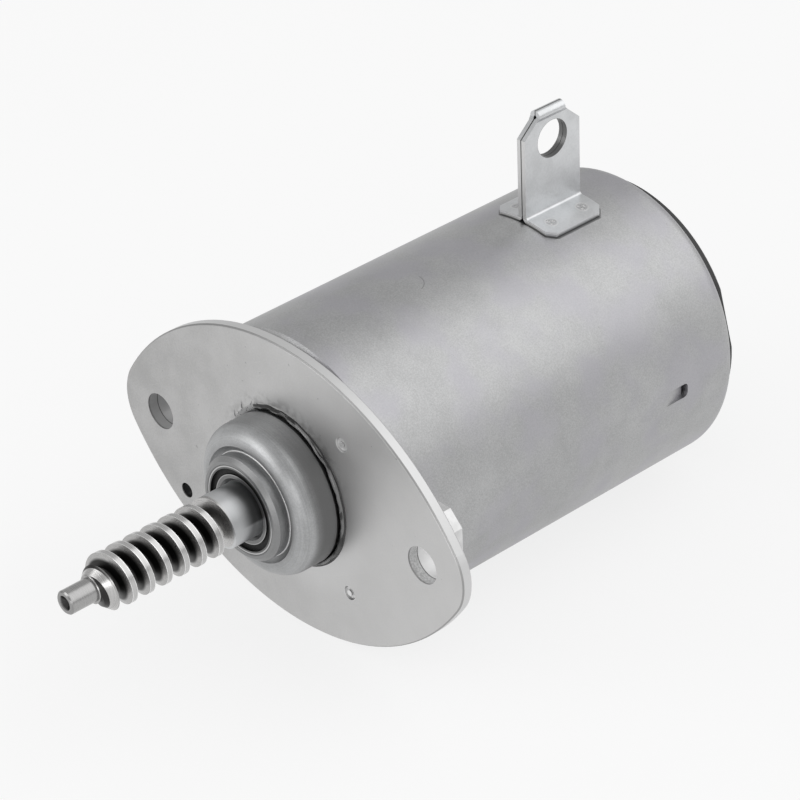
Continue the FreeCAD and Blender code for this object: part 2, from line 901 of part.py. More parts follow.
def rear_bearing_bush():
    """The sintered bush that carries the shaft's rear journal."""
    return ring(journal_r + bush_clearance, bush_r, bush_start, bush_start + bush_length)


def cap_seal_ring():
    """The rubber ring between the cap's skirt and the can."""
    inner = can_inner_r - seal_ring_depth
    end = seal_ring_start + seal_ring_width
    return ring(inner, can_inner_r, seal_ring_start, end)


def bracket_section():
    """The folded sheet seen along the shaft: two feet, two uprights and a hem over the top."""
    outer_bend = sheet + bend_inner_r
    face_x = sheet_gap / 2 + sheet
    bend_x = sheet_gap / 2 + outer_bend
    bend_z = math.sqrt((can_r + outer_bend) ** 2 - bend_x ** 2)
    top_r = can_r + sheet
    touch = math.atan2(bend_x, bend_z)
    tip = math.asin(foot_half_span / top_r)
    middle = (tip + touch) / 2
    half_bend = math.radians(225) - touch / 2

    def polar(radius, angle):
        return (radius * math.sin(angle), radius * math.cos(angle))

    def on_bend(radius):
        return (bend_x + radius * math.cos(half_bend), bend_z + radius * math.sin(half_bend))

    right = [
        ("line", (sheet_gap / 2, hem_z - hem_loop_r)),
        ("line", (sheet_gap / 2, bend_z)),
        ("arc", on_bend(outer_bend)),
        ("line", polar(can_r, touch)),
        ("arc", polar(can_r, middle)),
        ("line", polar(can_r, tip)),
        ("line", polar(top_r, tip)),
        ("arc", polar(top_r, middle)),
        ("line", polar(top_r, touch)),
        ("arc", on_bend(bend_inner_r)),
        ("line", (face_x, bend_z)),
        ("line", (face_x, hem_z - hem_r / 2)),
        ("line", (hem_r, hem_z)),
    ]
    left = [(kind, (-x, z)) for kind, (x, z) in reversed(right)]
    hem = [("arc", (0, hem_z + hem_r))]
    loop = [("arc", (0, hem_z + hem_loop_r))]
    return right + hem + left + loop


def section_wire(marks):
    """A closed wire in the plane across the shaft; a mark named arc is a point on the way."""
    edges = []
    here = None
    through = None
    for kind, (x, z) in marks + marks[:1]:
        point = V(x, 0, z)
        if kind == "arc":
            through = point
            continue
        if through is not None:
            edges.append(Part.Arc(here, through, point).toShape())
            through = None
        elif here is not None:
            edges.append(Part.LineSegment(here, point).toShape())
        here = point
    return Part.Wire(edges)


def bracket_silhouette():
    """The bracket's outline seen from the side, as a solid wide enough to trim both layers."""
    half = bracket_width / 2
    low = can_r / 2
    high = hem_z + hem_r + over
    shoulder = half - tab_corner_y
    corners = [(-half, low), (half, low), (half, hem_z - tab_corner_z), (shoulder, hem_z)]
    corners += [(hem_width / 2, hem_z), (hem_width / 2, high), (-hem_width / 2, high)]
    corners += [(-hem_width / 2, hem_z), (-shoulder, hem_z), (-half, hem_z - tab_corner_z)]
    points = [V(-can_r, bracket_y + y, z) for y, z in corners]
    return Part.Face(Part.makePolygon(points + points[:1])).extrude(V(2 * can_r, 0, 0))


def foot_corner_cut(side, way):
    """What is cut off one corner of a foot, seen from above."""
    x = side * (foot_half_span + over / 2)
    y = bracket_y + way * (bracket_width / 2 + over / 2)
    size = foot_corner + over
    points = [V(x, y, 0), V(x - side * size, y, 0), V(x, y - way * size, 0)]
    return Part.Face(Part.makePolygon(points + points[:1])).extrude(V(0, 0, can_r + sheet + over))


def weld_pits():
    """Three tiny pits at each spot weld, two welds to a foot."""
    pits = []
    top_r = can_r + sheet
    for side in (-1, 1):
        for way in (-1, 1):
            for i in range(3):
                turn = math.radians(120.0 * i + 90.0)
                x = side * weld_x + weld_pit_ring * math.cos(turn)
                y = bracket_y + way * weld_spacing / 2 + weld_pit_ring * math.sin(turn)
                floor = V(x, y, math.sqrt(top_r ** 2 - x ** 2) - weld_pit_depth)
                pits.append(Part.makeCylinder(weld_pit_r, weld_pit_depth + over, floor))
    return pits


def support_bracket():
    """One strip of sheet folded double, with its two feet bent out onto the can."""
    strip = Part.Face(section_wire(bracket_section())).extrude(V(0, bracket_width, 0))
    strip.translate(V(0, bracket_y - bracket_width / 2, 0))
    body = strip.common(bracket_silhouette())
    hole_start = V(-2 * hem_r, bracket_y, bracket_hole_z)
    hole = Part.makeCylinder(bracket_hole_r, 4 * hem_r, hole_start, V(1, 0, 0))
    corners = [foot_corner_cut(side, way) for side in (-1, 1) for way in (-1, 1)]
    return body.cut([hole] + corners + weld_pits())


def flipped(shape):
    """The same piece on the opposite side of the shaft."""
    return about_shaft(shape, 180)


os.makedirs("parts", exist_ok=True)

save("mounting_flange", mounting_flange())
save("ear_block_right", distance_block(1))
save("ear_block_left", distance_block(-1))
save("motor_can", motor_can())
save("front_bearing_housing", front_bearing_housing())
save("sealant_bead", sealant_bead())
save("bearing_outer_ring", bearing_outer_ring())
save("bearing_inner_ring", bearing_inner_ring())
save("bearing_balls", bearing_balls())
save("bearing_cage", bearing_cage())
save("bearing_seal_front", bearing_seal(bearing_front + seal_inset))
save("bearing_seal_rear", bearing_seal(bearing_rear - seal_inset - seal_thickness))
save("worm_shaft", worm_shaft())
save("retaining_ring", retaining_ring())
save("armature_core", slotted_stack(core_start, core_end))
save("armature_end_plate_front", slotted_stack(core_start - end_plate_thickness, core_start))
save("armature_end_plate_rear", slotted_stack(core_end, core_end + end_plate_thickness))
save("armature_windings", armature_windings())
save("commutator_hub", commutator_hub())
save("commutator_bars", commutator_bars())
save("thrust_washer", thrust_washer())
save("pole_magnet_right", pole_magnet(0))
save("pole_magnet_left", pole_magnet(180))
save("brush_carrier", brush_carrier())
save("carbon_brush_upper", carbon_brush())
save("carbon_brush_lower", flipped(carbon_brush()))
save("brush_spring_upper", brush_spring())
save("brush_spring_lower", flipped(brush_spring()))
save("power_terminal_right", terminal(1))
save("power_terminal_left", terminal(-1))
save("rear_cap", rear_cap())
save("cap_seal_ring", cap_seal_ring())
save("rear_bearing_bush", rear_bearing_bush())
save("support_bracket", support_bracket())
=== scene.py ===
# %% [markdown]
# # A worm-drive motor that sets valve lift
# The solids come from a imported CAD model: a steel can, an oval flange, a turned bearing housing
# with a worm through it, and a folded bracket. This notebook leaves their shapes alone and gives
# each one the surface that the photograph shows: blasted steel, plated sheet, turned steel, a
# worm with bright crests, black sealant and moulded plastic. Only the sealant and the two brush
# springs are modelled again.

# %% Load the frame
import json
import math

import bmesh
import bpy
from mathutils import Matrix, Vector, noise


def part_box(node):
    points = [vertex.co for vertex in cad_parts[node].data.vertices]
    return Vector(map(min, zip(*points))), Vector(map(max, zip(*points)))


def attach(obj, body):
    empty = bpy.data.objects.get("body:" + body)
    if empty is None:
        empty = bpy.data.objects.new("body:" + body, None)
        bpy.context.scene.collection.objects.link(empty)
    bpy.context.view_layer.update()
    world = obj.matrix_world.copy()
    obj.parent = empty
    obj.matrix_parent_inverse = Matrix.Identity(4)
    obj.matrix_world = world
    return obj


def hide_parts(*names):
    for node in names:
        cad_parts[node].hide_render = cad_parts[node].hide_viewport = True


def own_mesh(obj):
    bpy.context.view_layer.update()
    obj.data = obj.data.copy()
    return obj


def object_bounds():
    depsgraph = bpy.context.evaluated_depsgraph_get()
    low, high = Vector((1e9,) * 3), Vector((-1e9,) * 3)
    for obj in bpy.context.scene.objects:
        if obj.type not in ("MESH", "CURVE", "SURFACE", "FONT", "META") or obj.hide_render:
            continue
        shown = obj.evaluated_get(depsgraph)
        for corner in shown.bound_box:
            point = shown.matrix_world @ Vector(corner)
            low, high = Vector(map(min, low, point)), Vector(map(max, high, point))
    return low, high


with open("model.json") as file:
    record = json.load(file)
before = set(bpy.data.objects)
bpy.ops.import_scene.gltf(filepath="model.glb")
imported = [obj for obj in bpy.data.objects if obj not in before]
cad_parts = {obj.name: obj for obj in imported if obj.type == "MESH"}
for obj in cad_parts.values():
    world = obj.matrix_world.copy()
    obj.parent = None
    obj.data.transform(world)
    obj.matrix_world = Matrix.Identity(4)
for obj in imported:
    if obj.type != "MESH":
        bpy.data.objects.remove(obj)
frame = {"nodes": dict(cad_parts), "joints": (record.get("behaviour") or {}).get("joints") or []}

nodes = frame["nodes"]
cad_box = [list(corner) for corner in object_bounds()]
print("CAD nodes:", len(nodes), "box in mm:", [[round(1000 * v, 1) for v in c] for c in cad_box])

# %% [markdown]
# ## Working in millimetres
# Blender counts in metres, but a maker thinks of this motor in millimetres. One constant keeps
# the two apart. The sizes below are read from the CAD boxes, so that a mark or a bead stays in
# its place if the model changes.

# %% Sizes read from the frame
MM = 0.001


def corner_mm(node):
    """The lowest and highest corner of one CAD node, in millimetres."""
    low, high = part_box(node)
    return low / MM, high / MM


can_high = corner_mm("motor_can")[1]
can_radius = can_high.x
flange_back = corner_mm("mounting_flange")[1].y
bead_low, bead_high = corner_mm("sealant_bead")
bead_outer = bead_high.x
bead_front = bead_low.y
bracket_low, bracket_high = corner_mm("support_bracket")
bracket_middle = (bracket_low.y + bracket_high.y) / 2
bracket_half = (bracket_high.y - bracket_low.y) / 2
print("can radius", round(can_radius, 2), "rear", round(can_high.y, 2))
print("bead to radius", round(bead_outer, 2), "bracket half width", round(bracket_half, 2))

# %% [markdown]
# ## The camera
# The photograph looks at the worm end from the right and from above. A long lens keeps the
# perspective gentle, as in catalogue pictures. The angles are those of the real camera: it turns
# about the vertical, tips down, rolls a little, and looks at a point inside the can.

# %% Place the camera
AZIMUTH = math.radians(48.653)
ELEVATION = math.radians(32.286)
ROLL = math.radians(-2.562)
DISTANCE = 0.638785
LENS = 152.455
SENSOR = 36.0
LOOK_AT = Vector((0.00851, 0.02192, 0.01279))

turn = Matrix.Rotation(AZIMUTH, 4, "Z") @ Matrix.Rotation(math.pi / 2 - ELEVATION, 4, "X")
turn = turn @ Matrix.Rotation(ROLL, 4, "Z")
camera_data = bpy.data.cameras.new("camera")
camera_data.lens = LENS
camera_data.sensor_width = SENSOR
camera_data.clip_start = 0.01
camera_data.clip_end = 20.0
camera = bpy.data.objects.new("camera", camera_data)
camera.matrix_world = Matrix.Translation(LOOK_AT + turn.col[2].to_3d() * DISTANCE) @ turn
bpy.context.scene.collection.objects.link(camera)
bpy.context.scene.camera = camera
print("camera at", [round(v, 3) for v in camera.matrix_world.translation])

# %% [markdown]
# ## Shader maths as plain Python
# A finish is a sum of patterns: a fine grain, a broad cloud, a mask round one place. Wiring Math
# nodes by hand hides that. This class wraps one socket and overloads the arithmetic, so that a
# finish reads as a formula. A second class holds one material and makes any other node.


# %% Wrap a socket
class Value:
    """One number or vector that varies over a surface."""

    def __init__(self, finish, socket):
        self.finish = finish
        self.socket = socket

    def math(self, operation, *others):
        inputs = dict(enumerate((self,) + others))
        return self.finish.node("ShaderNodeMath", {"operation": operation}, inputs)

    def __add__(self, other):
        return self.math("ADD", other)

    __radd__ = __add__

    def __sub__(self, other):
        return self.math("SUBTRACT", other)

    def __rsub__(self, other):
        return self.finish.node("ShaderNodeMath", {"operation": "SUBTRACT"}, {0: other, 1: self})

    def __mul__(self, other):
        return self.math("MULTIPLY", other)

    __rmul__ = __mul__

    def __truediv__(self, other):
        return self.math("DIVIDE", other)

    def __pow__(self, other):
        return self.math("POWER", other)

    def __abs__(self):
        return self.math("ABSOLUTE")

    def least(self, other):
        return self.math("MINIMUM", other)

    def most(self, other):
        return self.math("MAXIMUM", other)

    def above(self, low, high):
        """0 below low, 1 above high and a soft step between; low may be the larger."""
        settings = {"interpolation_type": "SMOOTHSTEP"}
        return self.finish.node("ShaderNodeMapRange", settings, {0: self, 1: low, 2: high})

    def near(self, middle, half, soft):
        """1 within half of the middle, fading to 0 over the soft width."""
        return abs(self - middle).above(half + soft, half)


def distance(a, b):
    """How far a place lies from an axis, from its two offsets."""
    return (a * a + b * b) ** 0.5


# %% Hold one material
class Finish:
    """A material with one main shader, named for the finish that it gives."""

    def __init__(self, name, colour, metallic=0.0, roughness=0.5, **constants):
        self.material = bpy.data.materials.new(name)
        self.material.use_nodes = True
        self.tree = self.material.node_tree
        self.tree.nodes.clear()
        output = self.tree.nodes.new("ShaderNodeOutputMaterial")
        self.shader = self.tree.nodes.new("ShaderNodeBsdfPrincipled")
        self.tree.links.new(self.shader.outputs[0], output.inputs[0])
        self.shader.inputs["Base Color"].default_value = (*colour, 1.0)
        self.shader.inputs["Metallic"].default_value = metallic
        self.shader.inputs["Roughness"].default_value = roughness
        for socket, value in constants.items():
            self.shader.inputs[socket.replace("_", " ")].default_value = value
        coordinates = self.tree.nodes.new("ShaderNodeTexCoord")
        metres = Value(self, coordinates.outputs["Object"])
        scale = {"operation": "SCALE"}
        self.place = self.node("ShaderNodeVectorMath", scale, {0: metres, "Scale": 1 / MM})
        split = self.tree.nodes.new("ShaderNodeSeparateXYZ")
        self.tree.links.new(self.place.socket, split.inputs[0])
        self.x, self.y, self.z = (Value(self, s) for s in split.outputs)

    def node(self, kind, settings, inputs, output=0):
        """Any node: its settings first, then its sockets as numbers, colours or links."""
        made = self.tree.nodes.new(kind)
        for name, value in settings.items():
            setattr(made, name, value)
        for key, value in inputs.items():
            if isinstance(value, Value):
                self.tree.links.new(value.socket, made.inputs[key])
            else:
                made.inputs[key].default_value = value
        return Value(self, made.outputs[output])

    def vector(self, x, y, z):
        return self.node("ShaderNodeCombineXYZ", {}, {0: x, 1: y, 2: z})

    def cloud(self, size, detail=3.0, place=None, roughness=0.55):
        """Soft noise whose lumps are about size millimetres wide, from 0 to 1."""
        inputs = {"Vector": place or self.place, "Scale": 1 / size}
        inputs.update({"Detail": detail, "Roughness": roughness})
        return self.node("ShaderNodeTexNoise", {}, inputs)

    def blend(self, share, colour_a, colour_b):
        """Colour a where the share is 0, and colour b where it is 1."""
        a = colour_a if isinstance(colour_a, Value) else (*colour_a, 1.0)
        b = colour_b if isinstance(colour_b, Value) else (*colour_b, 1.0)
        return self.node("ShaderNodeMix", {"data_type": "RGBA"}, {0: share, 6: a, 7: b}, 2)

    def radius(self):
        """Distance from the shaft axis."""
        return distance(self.x, self.z)

    def angle(self):
        """Turn about the shaft axis, from -pi to pi."""
        return self.z.math("ARCTAN2", self.x)

    def drive(self, socket, value):
        self.tree.links.new(value.socket, self.shader.inputs[socket])

    def bump(self, height, depth_mm):
        """Relief, with the height from 0 to 1 standing for a depth in millimetres."""
        inputs = {"Height": height, "Distance": depth_mm * MM, "Strength": 1.0}
        self.drive("Normal", self.node("ShaderNodeBump", {}, inputs))

    def on(self, *names):
        """Give this finish to CAD nodes."""
        for name in names:
            nodes[name].data.materials.clear()
            nodes[name].data.materials.append(self.material)
        print(self.material.name, "->", ", ".join(names))


def grey(level, warmth=0.0):
    """A grey that leans to yellow with a positive warmth, and to blue with a negative one."""
    return (level * (1 + warmth), level, level * (1 - warmth))


# %% [markdown]
# ## The can: fine blasted steel
# The real can is deep-drawn steel, blasted with fine beads and lightly plated, so it scatters
# light evenly and shows no brushing. Its grain is about a quarter of a millimetre. The broad
# clouds are what handling leaves, and the plating has a faint violet tint in places. One curved
# hair scratch lies near the top, three centimetres behind the flange, and a painted shadow
# darkens the seam round the bracket's feet.

# %% Draw the scratch
can = Finish("blasted_can", grey(0.45), metallic=1.0, roughness=0.42)
SCRATCH_X = 0.6
SCRATCH_Y = 31.6
SCRATCH_RADIUS = 3.5
SCRATCH_HALF = 0.05
CAN_TOP_Z = 30.0
scratch_x = can.x - SCRATCH_X
scratch_y = can.y - SCRATCH_Y
scratch = distance(scratch_x, scratch_y).near(SCRATCH_RADIUS, SCRATCH_HALF, 0.08)
scratch = scratch * scratch_x.above(-0.5, 0.2)
scratch = scratch * can.z.above(CAN_TOP_Z - 1.0, CAN_TOP_Z) * scratch_y.above(0.6, 1.2)
print("scratch of radius", SCRATCH_RADIUS, "mm")

# %% Find the painted shadow round the bracket's feet
FOOT_HALF_X = 8.1
FOOT_CORNER = 1.8
SEAM_REACH = 0.4
SEAM_SOFT = 0.3
CORNER_SPARE = 0.1
SEAM_Z = 27.0


def up_to(offset, half):
    """1 up to a foot's edge, and 0 from a little outside it."""
    return offset.above(half + SEAM_REACH, half + SEAM_REACH - SEAM_SOFT)


seam_x = abs(can.x)
seam_y = abs(can.y - bracket_middle)
cut_corner = FOOT_HALF_X + bracket_half - FOOT_CORNER + CORNER_SPARE
painted_foot_shadow = up_to(seam_x, FOOT_HALF_X) * up_to(seam_y, bracket_half)
painted_foot_shadow = painted_foot_shadow * up_to(seam_x + seam_y, cut_corner) * can.z.above(SEAM_Z - 2.0, SEAM_Z)
print("seam round feet of", 2 * FOOT_HALF_X, "by", round(2 * bracket_half, 1), "mm")

# %% Finish the can
grain = can.cloud(0.28, 2.0)
patch = can.cloud(5.0)
haze = can.cloud(28.0)
tone = grain * 0.55 + patch * 0.2 + haze * 0.25
steel = can.blend(tone.above(0.3, 0.7), grey(0.38, -0.004), grey(0.52, -0.004))
tint = can.cloud(11.0, 2.0).above(0.42, 0.66)
steel = can.blend(tint * 0.5, steel, (0.44, 0.43, 0.47))
pits = can.cloud(0.7, 1.0).above(0.77, 0.81)
steel = can.blend(pits * 0.35, steel, grey(0.2))
# Painted shadow: the can is painted dark in the seam round the bracket's feet.
steel = can.blend(painted_foot_shadow * 0.75, steel, grey(0.1))
can.drive("Base Color", can.blend(scratch * 0.45, steel, grey(0.12)))
can.drive("Roughness", 0.4 + grain * 0.08 + haze * 0.06)
can.bump(grain, 0.016)
can.on("motor_can")

# %% [markdown]
# ## The flange and the blocks behind its ears
# The flange is stamped from plate and plated bright. Stamping leaves the edge smoother and
# brighter than the faces, with a dark line where the front face turns into it. The faces carry
# fine scratches in all directions, a few dark specks, and a grey smear where surplus sealant was
# wiped off. The holes' walls get tones of their own, because the punch leaves them grainy. The
# vent hole's wall and the left bolt holes' walls are painted darker, as painted shade.

# %% Mark the flange's holes and edges
plate = Finish("plated_plate", grey(0.45), metallic=1.0, roughness=0.36)
BOLT_X = 37.5
BOLT_MOUTH_R = 4.2
VENT_X = -31.1
VENT_Z = -15.6
VENT_MOUTH_R = 1.9
CHAMFER = 0.3


def bolt_mask(finish):
    """1 inside the bolt holes, which run through the flange and the blocks."""
    from_axis = distance(abs(finish.x) - BOLT_X, finish.z)
    return from_axis.above(BOLT_MOUTH_R + 0.4, BOLT_MOUTH_R)


bolt_hole = bolt_mask(plate)
vent_hole = distance(plate.x - VENT_X, plate.z - VENT_Z).above(VENT_MOUTH_R + 0.3, VENT_MOUTH_R)
solid = (1 - bolt_hole) * (1 - vent_hole)
walls = plate.y.above(CHAMFER / 2, CHAMFER) * plate.y.above(flange_back + 0.2, flange_back)
edge = plate.y.above(CHAMFER, CHAMFER + 0.1)
edge = edge * plate.y.above(flange_back - 0.2, flange_back - 0.4) * solid
corner_line = plate.y.above(0.03, 0.08) * plate.y.above(CHAMFER + 0.1, CHAMFER) * solid
corner_line = corner_line * plate.radius().above(bead_outer + 0.5, bead_outer + 1.0)
mouth = plate.y.above(0.02, 0.06) * plate.y.above(CHAMFER + 0.12, CHAMFER + 0.04)
block_line = plate.y.above(flange_back - 0.25, flange_back - 0.15)
block_line = block_line * plate.y.above(flange_back + 0.3, flange_back + 0.2)
print("bolt holes", 2 * BOLT_X, "mm apart, plate", round(flange_back, 2), "mm thick")


# %% Mark the flange's wear
def scratches(finish, angle, length, spacing, amount):
    """Fine straight lines in one direction of the flange's plane, as a mask."""
    across = finish.x * math.cos(angle) + finish.z * math.sin(angle)
    down = finish.z * math.cos(angle) - finish.x * math.sin(angle)
    lines = finish.cloud(1.0, 1.0, finish.vector(across / length, down / spacing, finish.y))
    return lines.above(1 - amount, 1.02 - amount * 0.6)


DIMPLE_REACH = 16.62
DIMPLE_R = 1.5
SMEAR_WIDTH = 3.6
hair = scratches(plate, 0.5, 9.0, 0.12, 0.34) + scratches(plate, -0.9, 7.0, 0.1, 0.33)
hair = (hair + scratches(plate, 1.9, 12.0, 0.15, 0.32)).least(1.0) * (1 - edge)
specks = plate.cloud(1.3, 1.0).above(0.74, 0.78)
worn = plate.cloud(9.0) * 0.6 + plate.cloud(0.4, 2.0) * 0.4
from_bead = plate.radius() - bead_outer
smear = from_bead.above(SMEAR_WIDTH, 0.2) * plate.cloud(2.2).above(0.42, 0.62)
smear = smear * plate.z.above(4.0, 12.0)
# Painted light: the plate round the boss, on the right, is painted lighter to cancel the housing's
# dark reflection.
painted_light_round_boss = from_bead.above(8.0, 0.0) * plate.x.above(-4.0, 8.0)
dimple = distance(plate.x - DIMPLE_REACH, abs(plate.z) - DIMPLE_REACH)
dimple = dimple.above(DIMPLE_R + 0.2, DIMPLE_R - 0.2)
print("smear", SMEAR_WIDTH, "mm wide round the bead")

# %% Finish the flange
tone = plate.blend(worn.above(0.32, 0.68), grey(0.41, 0.004), grey(0.52, 0.004))
# Painted light: the plate is painted lighter towards its right-hand ear, standing in for a brighter
# reflection.
tone = plate.blend(plate.x.above(-45.0, 30.0) * 0.7, tone, grey(0.63, 0.004))
tone = plate.blend(dimple * 0.8, tone, grey(0.85))
tone = plate.blend(hair * 0.4, tone, grey(0.64))
tone = plate.blend(painted_light_round_boss * 0.5, tone, grey(0.7))
tone = plate.blend(specks * 0.5, tone, grey(0.25))
tone = plate.blend(smear * 0.5, tone, grey(0.28))
tone = plate.blend(edge, tone, grey(0.68))
tone = plate.blend(corner_line * 0.6, tone, grey(0.22))

hole_grain = plate.cloud(0.4, 3.0).above(0.35, 0.65)
hole_tone = plate.blend(hole_grain, grey(0.5), grey(0.7))
# Painted shade: the left bolt hole's wall is painted a plain darker grey than the right one.
hole_tone = plate.blend(plate.x.above(-1.0, 1.0), grey(0.4), hole_tone)
tone = plate.blend(bolt_hole * walls * 0.9, tone, hole_tone)
tone = plate.blend(bolt_hole * block_line * 0.8, tone, grey(0.08))
tone = plate.blend(bolt_hole * mouth * 0.6, tone, grey(0.2))
# Painted shade: the vent hole's wall is painted nearly black.
plate.drive("Base Color", plate.blend(vent_hole * walls * 0.95, tone, grey(0.04)))
plate.drive("Metallic", 1 - bolt_hole * walls * 0.7)
gloss = 0.38 + worn * 0.1 + edge * 0.1 - hair * 0.08
plate.drive("Roughness", gloss + bolt_hole * walls * 0.3)
plate.bump((plate.cloud(0.3, 2.0) - hair * 0.5) * (1 - edge), 0.005)
plate.on("mounting_flange")

# %% Finish the blocks
block = Finish("bright_block", grey(0.75, 0.01), metallic=1.0, roughness=0.3)
block_bore = bolt_mask(block)
block_tone = block.blend(block.cloud(2.5).above(0.3, 0.7), grey(0.66), grey(0.76))
# Painted shade: the bore of the left block is painted darker than that of the right block.
bore_tone = block.blend(block.x.above(-1.0, 1.0), grey(0.4), grey(0.82))
block.drive("Base Color", block.blend(block_bore * 0.9, block_tone, bore_tone))
block.drive("Metallic", 1 - block_bore * 0.7)
block.drive("Roughness", 0.44 + block.cloud(0.5) * 0.14)
block.bump(block.cloud(0.5), 0.006)
block.on("ear_block_right", "ear_block_left")

# %% [markdown]
# ## The bracket: bright rolled sheet
# The bracket is cold-rolled sheet with a bright plating. Rolling leaves faint lines up its
# faces. The cut edges are brighter. Each foot gets a painted highlight on its upper corner, and
# painted shadow where it meets the can. The spot welds leave a dull, slightly brown ring round
# their three small pits.

# %% Mark the bracket's welds and edges
sheet = Finish("rolled_sheet", grey(0.56, -0.02), metallic=1.0, roughness=0.34)
WELD_X = 4.7
WELD_REACH = 4.2
WELD_RIM_R = 1.25
FOOT_Z = 34.0
HOLE_Z = 47.03
HOLE_R = 3.96
FOOT_CORNER_RISE = 0.8
from_middle = abs(sheet.y - bracket_middle)
on_foot = sheet.z.above(FOOT_Z, FOOT_Z - 0.5)
weld = distance(abs(sheet.x) - WELD_X, from_middle - WELD_REACH)
dull = weld.above(WELD_RIM_R + 0.45, WELD_RIM_R - 0.35) * on_foot
rim = weld.near(WELD_RIM_R, 0.12, 0.15) * on_foot
painted_bore_shade = distance(from_middle, sheet.z - HOLE_Z).above(HOLE_R + 0.08, HOLE_R + 0.02)
fold = sheet.x.near(0.0, 0.12, 0.06)
cut_edge = from_middle.above(bracket_half - 0.08, bracket_half)
over_can = sheet.radius() - can_radius
painted_foot_edge_highlight = over_can.near(FOOT_CORNER_RISE, 0.14, 0.03)
painted_foot_contact_shadow = over_can.above(0.35, 0.2)
print("welds", 2 * WELD_X, "by", 2 * WELD_REACH, "mm apart, hole of radius", HOLE_R)

# %% Finish the bracket
lines = sheet.cloud(0.5, 2.0)
cloudy = sheet.cloud(4.0)
rolled = (lines * 0.3 + cloudy * 0.7).above(0.3, 0.7)
tone = sheet.blend(rolled, grey(0.58, -0.015), grey(0.68, -0.015))
tone = sheet.blend(dull * 0.35, tone, grey(0.3, 0.03))
tone = sheet.blend(rim * 0.5, tone, grey(0.75))
tone = sheet.blend(cut_edge, tone, grey(0.68))
# Painted highlight along each foot's upper corner, and painted shadow where the foot meets the can.
tone = sheet.blend(painted_foot_edge_highlight, tone, grey(0.88))
tone = sheet.blend(painted_foot_contact_shadow * 0.8, tone, grey(0.12))
# Painted shade: the hole's wall is painted dark. The fold line is the dark joint between the two
# layers.
sheet.drive("Base Color", sheet.blend(painted_bore_shade.most(fold * 0.9), tone, grey(0.16)))
sheet.drive("Roughness", 0.3 + lines * 0.08 + dull * 0.1)
sheet.bump(lines * 0.3 + cloudy * 0.4 + rim, 0.02)
sheet.on("support_bracket")

# %% [markdown]
# ## The front housing: turned steel
# The housing was turned on a lathe. Its cutter leaves rings, which stretch each highlight into a
# band. The noise below depends on the radius and on the place along the shaft, with only a
# little of the angle, so it draws rings that fade in and out. The dished face gets painted shade,
# strongest on its upper right, the sharp corner at the collar's root gets a painted highlight,
# and the side near the flange gets painted shade, darker on the right and below than on top.

# %% Mark the housing's collar and foot
turned = Finish("turned_steel", grey(0.42), metallic=1.0, roughness=0.4)
COLLAR_R = 10.7
COLLAR_FRONT = -10.9
DISH_FLOOR = -8.4
SIDE_R = 15.4
from_axis = turned.radius()
clock = turned.angle()
# Painted shade: the side of the housing near the flange, darker on the right and below than on top.
painted_side_shade = turned.y.above(-7.0, -4.0) * from_axis.above(SIDE_R - 0.4, SIDE_R)
painted_side_shade = painted_side_shade * (0.15 + clock.above(1.6, 0.8) * 0.7)
face = turned.y.above(COLLAR_FRONT + 0.1, COLLAR_FRONT - 0.1)
# Painted shade: the dish round the collar, strongest on its upper right.
painted_dish_shade = from_axis.above(COLLAR_R, COLLAR_R + 0.1)
painted_dish_shade = painted_dish_shade * from_axis.above(COLLAR_R + 2.8, COLLAR_R + 1.2)
painted_dish_shade = painted_dish_shade * (0.2 + clock.near(0.6, 0.6, 0.8) * 0.5)
# Painted highlight: a bright line at the corner of the collar's root.
painted_root_highlight = from_axis.above(COLLAR_R + 0.2, COLLAR_R + 0.14)
painted_root_highlight = painted_root_highlight * turned.y.above(DISH_FLOOR - 0.26, DISH_FLOOR - 0.2)
print("collar of radius", COLLAR_R, "in a dish at y", DISH_FLOOR)

# %% Finish the housing
rings = turned.vector(from_axis / 0.16, turned.y / 0.16, clock * 0.5)
rings = turned.cloud(1.0, 2.0, rings)
stain = turned.cloud(3.5)
sand = turned.cloud(0.3, 2.0)
mottle = (rings * 0.4 + stain * 0.3 + sand * 0.3).above(0.34, 0.66)
tone = turned.blend(mottle, grey(0.35, -0.01), grey(0.48, -0.01))
tone = turned.blend(painted_side_shade, tone, grey(0.2))
tone = turned.blend(face * 0.7, tone, grey(0.22))
tone = turned.blend(painted_dish_shade, tone, grey(0.16))
turned.drive("Base Color", turned.blend(painted_root_highlight, tone, grey(0.85)))
turned.drive("Roughness", 0.34 + rings * 0.08 + stain * 0.1)
turned.bump(rings * 0.6 + sand * 0.4, 0.008)
turned.on("front_bearing_housing")

# %% [markdown]
# ## The worm shaft: cut, then rubbed bright
# The worm's crests are ground and rub on the wheel, so they are nearly polished. The flanks keep
# the cutter's lines, and the roots hold an oil film, painted near black with painted shade. The
# distance from the shaft axis tells crest, flank and root apart. A count of turns along the thread
# tells the groove from the crest, so that its two corners can get a painted highlight. Near the
# bearing the bar gets a painted reflection of the dark gap.

# %% Find the thread
worm = Finish("cut_worm", grey(0.55, 0.01), metallic=1.0, roughness=0.26)
WORM_ROOT = 2.8
WORM_CREST = 5.635
WORM_END = -18.0
WORM_START = -47.0
WORM_PITCH = 4.084
CREST_SHARE = 0.147
GROOVE_Y = -19.3
GROOVE_ANGLE = math.radians(40.0)
PIN_R = 2.4
depth = worm.radius()
turns_up = (worm.y - GROOVE_Y) / WORM_PITCH + (worm.angle() - GROOVE_ANGLE) / (2 * math.pi)
to_groove = abs((turns_up + 0.5).math("FRACT") - 0.5)
groove_wall = 0.5 - CREST_SHARE
in_thread = worm.y.above(WORM_END, WORM_END - 3.0) * worm.y.above(WORM_START - 0.1, WORM_START)
in_thread = in_thread * depth.above(PIN_R + 0.1, PIN_R + 0.2)
in_groove = to_groove.above(groove_wall + 0.004, groove_wall - 0.004) * in_thread
